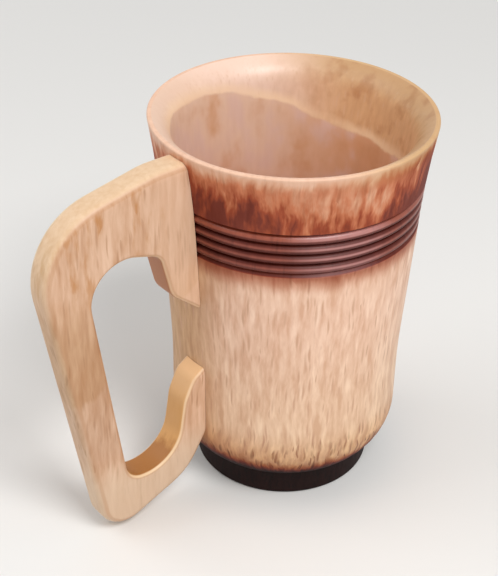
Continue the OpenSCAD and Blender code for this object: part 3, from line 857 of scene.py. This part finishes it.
# The board's grain shows as streaks on its faces and fades to plain end grain on what looks up or down.
BOARD_WOOD = (paint(226, 190, 162), paint(194, 148, 114), paint(178, 132, 98))
BOARD_STREAK_SIZE, BOARD_BUNDLE_SIZE = (1.9 * MM, 16 * MM), (1.1 * MM, 11 * MM)
BOARD_PATCH_SIZE, BOARD_WANDER = (12 * MM, 26 * MM), 1.8 * MM
END_GRAIN_TILTS = (0.25, 0.75)
FACE_CONTRAST, END_CONTRAST = 0.8, -0.72
BOARD_RELIEF_HEIGHT, BOARD_RELIEF_STRENGTH = 0.025 * MM, 0.5

board, tree, shader, place = new_material("board_bamboo", roughness=0.48, coat=0.12, coat_roughness=0.32,
                                          specular=0.3)
facing = put(tree, "TexCoord").outputs["Normal"]
turned_to = put(tree, "SeparateXYZ", {0: facing}).outputs
split = put(tree, "SeparateXYZ", {0: place}).outputs
across, height = split[0], split[2]
patches = clouds(tree, place, BOARD_PATCH_SIZE, seed=4.0)
end_grain = fade(tree, sums(tree, "ABSOLUTE", turned_to[2]), *END_GRAIN_TILTS)
contrast = plus(tree, end_grain, END_CONTRAST, FACE_CONTRAST)
wood = bamboo(tree, place, BOARD_STREAK_SIZE, BOARD_BUNDLE_SIZE, BOARD_WANDER, BOARD_WOOD,
              sums(tree, "SUBTRACT", patches, 0.5), contrast)

# Golden brown flecks, most of them over the arch.
FLECK = paint(184, 126, 72)
FLECK_SIZE, FLECK_WANDER = (3.4 * MM, 13 * MM), 1.5 * MM
FLECK_EDGE = (0.48, 1.12)
FLECK_HEIGHTS, FLECK_SHARES = (84 * MM, 104 * MM), (0.25, 0.9)
FLECK_REACH = (-47 * MM, -55 * MM)

flecks = bamboo(tree, place, FLECK_SIZE, BOARD_BUNDLE_SIZE, FLECK_WANDER)
fleck = product(tree, fade(tree, flecks["Streak"], *FLECK_EDGE),
                fade(tree, height, *FLECK_HEIGHTS, *FLECK_SHARES), fade(tree, across, *FLECK_REACH),
                sums(tree, "SUBTRACT", 1.0, end_grain))
colour = mixed(tree, fleck, wood["Color"], FLECK)

# A painted shadow of the cup darkens the grip, down to a slanting line and most on its outer side, and a
# faint even darkening covers the grip. The lug, the hook and the heel are paler.
JAGS, JAG_PATCHES = 2.5 * MM, 12 * MM
CUP_SHADOW_SLANT, CUP_SHADOW_FROM = (-0.6, 0, 1), (107 * MM, 109.5 * MM)
CUP_SHADOW_TO, CUP_SHADOW_PATCHES = (115 * MM, 92 * MM), 30 * MM
CUP_SHADOW_TINT = paint(242, 234, 218)
WORN_FOOT, WORN_TOP, WORN_REACH = (24 * MM, 38 * MM), (96 * MM, 80 * MM), (-62 * MM, -68 * MM)
WORN_TINT = paint(243, 242, 241)
LUG_REACH, LUG_SHARE, LUG_HEIGHTS = (-60 * MM, -48 * MM), 0.4, (60 * MM, 70 * MM)
PALE_LUG = paint(228, 190, 160)
PALE_HEEL_HEIGHTS, PALE_HEEL_SHARE = (34 * MM, 16 * MM), 0.6
PALE_HEEL = paint(216, 190, 162)

jagged = plus(tree, sums(tree, "SUBTRACT", wood["Streak"], 0.5), JAGS,
              product(tree, sums(tree, "SUBTRACT", patches, 0.5), JAG_PATCHES))
slanted = sums(tree, "ADD", moved(tree, "DOT_PRODUCT", place, CUP_SHADOW_SLANT), jagged)
# Painted shadow of the cup on the grip, above a slanting line.
cup_shadow = product(tree, fade(tree, slanted, *CUP_SHADOW_FROM),
                  fade(tree, plus(tree, patches, CUP_SHADOW_PATCHES, height), *CUP_SHADOW_TO))
colour = tinted(tree, cup_shadow, colour, CUP_SHADOW_TINT)
worn = product(tree, fade(tree, height, *WORN_FOOT), fade(tree, height, *WORN_TOP),
               fade(tree, across, *WORN_REACH))
colour = tinted(tree, worn, colour, WORN_TINT)
on_lug = product(tree, fade(tree, sums(tree, "ADD", across, jagged), *LUG_REACH, high=LUG_SHARE),
                 fade(tree, height, *LUG_HEIGHTS))
colour = mixed(tree, on_lug, colour, PALE_LUG)
jagged_height = sums(tree, "ADD", height, jagged)
pale_heel = fade(tree, jagged_height, *PALE_HEEL_HEIGHTS, high=PALE_HEEL_SHARE)
colour = mixed(tree, pale_heel, colour, PALE_HEEL)

# Along the edges a brown line of painted shade and then a pale round that is a painted rim highlight,
# palest over the arch, with a painted sheen on the far side. How far a face looks to the side, 1 on the
# board's faces, tells where it is round.
SHADE_LINE, SHADE_LINE_SHARE = paint(186, 138, 100), 0.4
LINE_OUTSIDE, LINE_INSIDE = (0.998, 0.95), (0.7, 0.88)
RIM_HIGHLIGHT_TILTS = (0.86, 0.5)
RIM_HIGHLIGHT_HEIGHTS, RIM_HIGHLIGHT_SHARES = (84 * MM, 112 * MM), (0.18, 0.5)
RIM_HIGHLIGHT_PALE, RIM_HIGHLIGHT_DEEP = paint(232, 208, 172), paint(214, 184, 142)
FAR_SHEEN = paint(244, 232, 204)
FAR_SHEEN_START, FAR_SHEEN_END = (0.15, 0.5), (0.97, 0.8)
FAR_SHEEN_HEIGHTS, FAR_SHEEN_SHARES = (60 * MM, 90 * MM), (0.15, 0.6)

sideways = sums(tree, "ABSOLUTE", turned_to[1])
# Painted shade: a brown line where the board's face turns into its rounded edge.
shade_line = product(tree, fade(tree, sideways, *LINE_OUTSIDE),
                     fade(tree, sideways, *LINE_INSIDE, high=SHADE_LINE_SHARE))
colour = mixed(tree, shade_line, colour, SHADE_LINE)
# Painted rim highlight on the rounded edges, strongest over the arch.
rim_highlight = product(tree, fade(tree, sideways, *RIM_HIGHLIGHT_TILTS), fade(tree, height, *RIM_HIGHLIGHT_HEIGHTS, *RIM_HIGHLIGHT_SHARES))
colour = mixed(tree, rim_highlight, colour, mixed(tree, wood["Streak"], RIM_HIGHLIGHT_PALE, RIM_HIGHLIGHT_DEEP))
# Painted sheen along the rounded edge of the board's far side.
far_sheen = product(tree, fade(tree, turned_to[1], *FAR_SHEEN_START), fade(tree, turned_to[1], *FAR_SHEEN_END),
                   fade(tree, height, *FAR_SHEEN_HEIGHTS, *FAR_SHEEN_SHARES))
colour = mixed(tree, far_sheen, colour, FAR_SHEEN)

# The faces inside the finger opening carry painted warm shade, orange at its heel and browner under the
# lug, and its edges a painted pale highlight.
OPENING_MIDDLE = flat(-66 * MM, 62 * MM)
INNER_TILTS = (0.15, 0.5)
HEEL_SHADE, HOOK_SHADE, NOSE_SHADE, LUG_SHADE = (
    paint(154, 94, 20), paint(206, 154, 92), paint(214, 169, 120), paint(172, 106, 64))
HOOK_SHADE_HEIGHTS, NOSE_SHADE_HEIGHTS, LUG_SHADE_HEIGHTS = (
    (20 * MM, 26 * MM), (36 * MM, 46 * MM), (70 * MM, 80 * MM))
SHADE_TILTS, SHADE_SHARES = (0.72, 0.3), (0.1, 0.9)
INNER_HIGHLIGHT = paint(240, 208, 166)
INNER_HIGHLIGHT_START, INNER_HIGHLIGHT_END = (0.3, 0.6), (0.98, 0.8)
INNER_HIGHLIGHT_HEIGHTS, INNER_HIGHLIGHT_SHARES = (50 * MM, 36 * MM), (0.35, 0.75)

inwards = moved(tree, "NORMALIZE", moved(tree, "SUBTRACT", OPENING_MIDDLE, place))
inner_side = fade(tree, moved(tree, "DOT_PRODUCT", inwards, facing), *INNER_TILTS)
# Painted warm shade on the faces inside the finger opening.
opening_shade = mixed(tree, fade(tree, jagged_height, *HOOK_SHADE_HEIGHTS), HEEL_SHADE, HOOK_SHADE)
opening_shade = mixed(tree, fade(tree, height, *NOSE_SHADE_HEIGHTS), opening_shade, NOSE_SHADE)
opening_shade = mixed(tree, fade(tree, height, *LUG_SHADE_HEIGHTS), opening_shade, LUG_SHADE)
opening_shade_share = product(tree, inner_side, fade(tree, sideways, *SHADE_TILTS, *SHADE_SHARES))
colour = mixed(tree, opening_shade_share, colour, opening_shade)
# Painted highlight along the rounded edges of the finger opening.
inner_highlight = product(tree, fade(tree, sideways, *INNER_HIGHLIGHT_START), fade(tree, sideways, *INNER_HIGHLIGHT_END), inner_side,
                 fade(tree, height, *INNER_HIGHLIGHT_HEIGHTS, *INNER_HIGHLIGHT_SHARES))
colour = mixed(tree, inner_highlight, colour, INNER_HIGHLIGHT)
tree.links.new(colour, shader.inputs["Base Color"])
relief = plus(tree, wood["Bundle"], BUNDLE_RELIEF, product(tree, wood["Streak"], STREAK_RELIEF))
bumps = put(tree, "Bump", {"Height": relief, "Distance": BOARD_RELIEF_HEIGHT,
                           "Strength": BOARD_RELIEF_STRENGTH})
tree.links.new(bumps.outputs[0], shader.inputs["Normal"])
handle.data.materials.append(board)
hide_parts("handle")
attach(handle, "root")

# Dowels
# Three bare bamboo pins, chamfered at their ends, that hold the handle's lug and hook to the wall.

PIN_WOOD = (paint(222, 188, 142), paint(196, 156, 108), paint(160, 116, 78))
PIN_STREAK_SIZE, PIN_BUNDLE_SIZE, PIN_WANDER = (1.4 * MM, 14 * MM), (0.7 * MM, 8 * MM), 0.4 * MM

pin, tree, shader, place = new_material("dowel_bamboo", roughness=0.6)
along = put(tree, "Mapping", {"Vector": place, "Rotation": (0, math.pi / 2, 0)}).outputs[0]
wood = bamboo(tree, along, PIN_STREAK_SIZE, PIN_BUNDLE_SIZE, PIN_WANDER, PIN_WOOD)
tree.links.new(wood["Color"], shader.inputs["Base Color"])
for name in ("upper_dowel", "middle_dowel", "lower_dowel"):
    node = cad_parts[name]
    node.data.materials.clear()
    node.data.materials.append(pin)

# Studio
# A pale floor that runs on to the horizon, a soft key light to the right of the camera and a dim fill.

FLOOR_RADIUS, FLOOR_TURNS = 4.0, 96
FLOOR_COLOUR = (0.8, 0.79, 0.77, 1)
BACKDROP_COLOUR = (0.86, 0.85, 0.83, 1)
HORIZON = (0.25, 1.1)
ROOM_STRENGTH = 0.5

bm = bmesh.new()
bmesh.ops.create_circle(bm, cap_ends=True, radius=FLOOR_RADIUS, segments=FLOOR_TURNS)
floor = finished(bm, "floor")
ground, tree, shader, place = new_material("pale_floor", roughness=0.9)
shader.inputs["Base Color"].default_value = FLOOR_COLOUR
distance = moved(tree, "LENGTH", place)
seen = put(tree, "LightPath").outputs["Is Camera Ray"]
far = put(tree, "Emission", {"Color": BACKDROP_COLOUR})
both = put(tree, "MixShader", {0: product(tree, seen, fade(tree, distance, *HORIZON)),
                               1: shader.outputs[0], 2: far.outputs[0]})
put(tree, "OutputMaterial", {"Surface": both.outputs[0]}).is_active_output = True
floor.data.materials.append(ground)

world = bpy.data.worlds.new("studio")
world.use_nodes = True
tree = world.node_tree
tree.nodes.clear()
rays = put(tree, "LightPath").outputs
seen = chain(tree, "MAXIMUM",
             (rays["Is Camera Ray"], rays["Is Glossy Ray"], rays["Is Transmission Ray"]))
room = put(tree, "Background", {"Color": (1, 1, 1, 1), "Strength": ROOM_STRENGTH})
backdrop = put(tree, "Background", {"Color": BACKDROP_COLOUR, "Strength": 1.0})
both = put(tree, "MixShader", {0: seen, 1: room.outputs[0], 2: backdrop.outputs[0]})
put(tree, "OutputWorld", {"Surface": both.outputs[0]})
bpy.context.scene.world = world

TARGET = Vector((-0.02, 0, 0.07))


def lamp(name, azimuth, elevation, distance, size, power):
    """A square area light that faces the cup."""
    light = bpy.data.lights.new(name, "AREA")
    light.size = size
    light.energy = power
    made = bpy.data.objects.new(name, light)
    a, e = math.radians(azimuth), math.radians(elevation)
    away = Vector((math.cos(a) * math.cos(e), math.sin(a) * math.cos(e), math.sin(e)))
    made.location = TARGET + away * distance
    made.rotation_euler = away.to_track_quat("Z", "Y").to_euler()
    bpy.context.scene.collection.objects.link(made)


lamp("key", azimuth=264, elevation=52, distance=1.0, size=0.4, power=6.7)
lamp("fill", azimuth=140, elevation=45, distance=1.2, size=0.8, power=4.0)

# Camera
# Found from the lip's ellipse, both walls and the grooves. It looks down on the cup from the side that
# the photograph was taken from, with a slight roll.

CAMERA_PLACE = Vector((-251.5, -285.7, 308.95)) * MM
CAMERA_PITCH = math.radians(32.516)
CAMERA_ROLL = math.radians(1.149)
CAMERA_WAY = Vector((0.6361, 0.7716, 0)).normalized()
FOCAL_PIXELS = 1360.386
LONG_SIDE = 576
SHIFT_ACROSS, SHIFT_UP = -1, -8
SENSOR = 36.0
NEAREST, FARTHEST = 0.01, 20

forward = CAMERA_WAY * math.cos(CAMERA_PITCH) - UP * math.sin(CAMERA_PITCH)
right = forward.cross(UP).normalized()
up = right.cross(forward)
rolled_right = right * math.cos(CAMERA_ROLL) + up * math.sin(CAMERA_ROLL)
rolled_up = up * math.cos(CAMERA_ROLL) - right * math.sin(CAMERA_ROLL)
lens = bpy.data.cameras.new("camera")
lens.sensor_width = SENSOR
lens.lens = FOCAL_PIXELS / LONG_SIDE * SENSOR
lens.shift_x = SHIFT_ACROSS / LONG_SIDE
lens.shift_y = SHIFT_UP / LONG_SIDE
lens.clip_start = NEAREST
lens.clip_end = FARTHEST
camera = bpy.data.objects.new("camera", lens)
camera.matrix_world = (Matrix.Translation(CAMERA_PLACE)
                       @ Matrix((rolled_right, rolled_up, -forward)).transposed().to_4x4())
bpy.context.scene.collection.objects.link(camera)
bpy.context.scene.camera = camera
bpy.context.scene.view_settings.view_transform = "Standard"
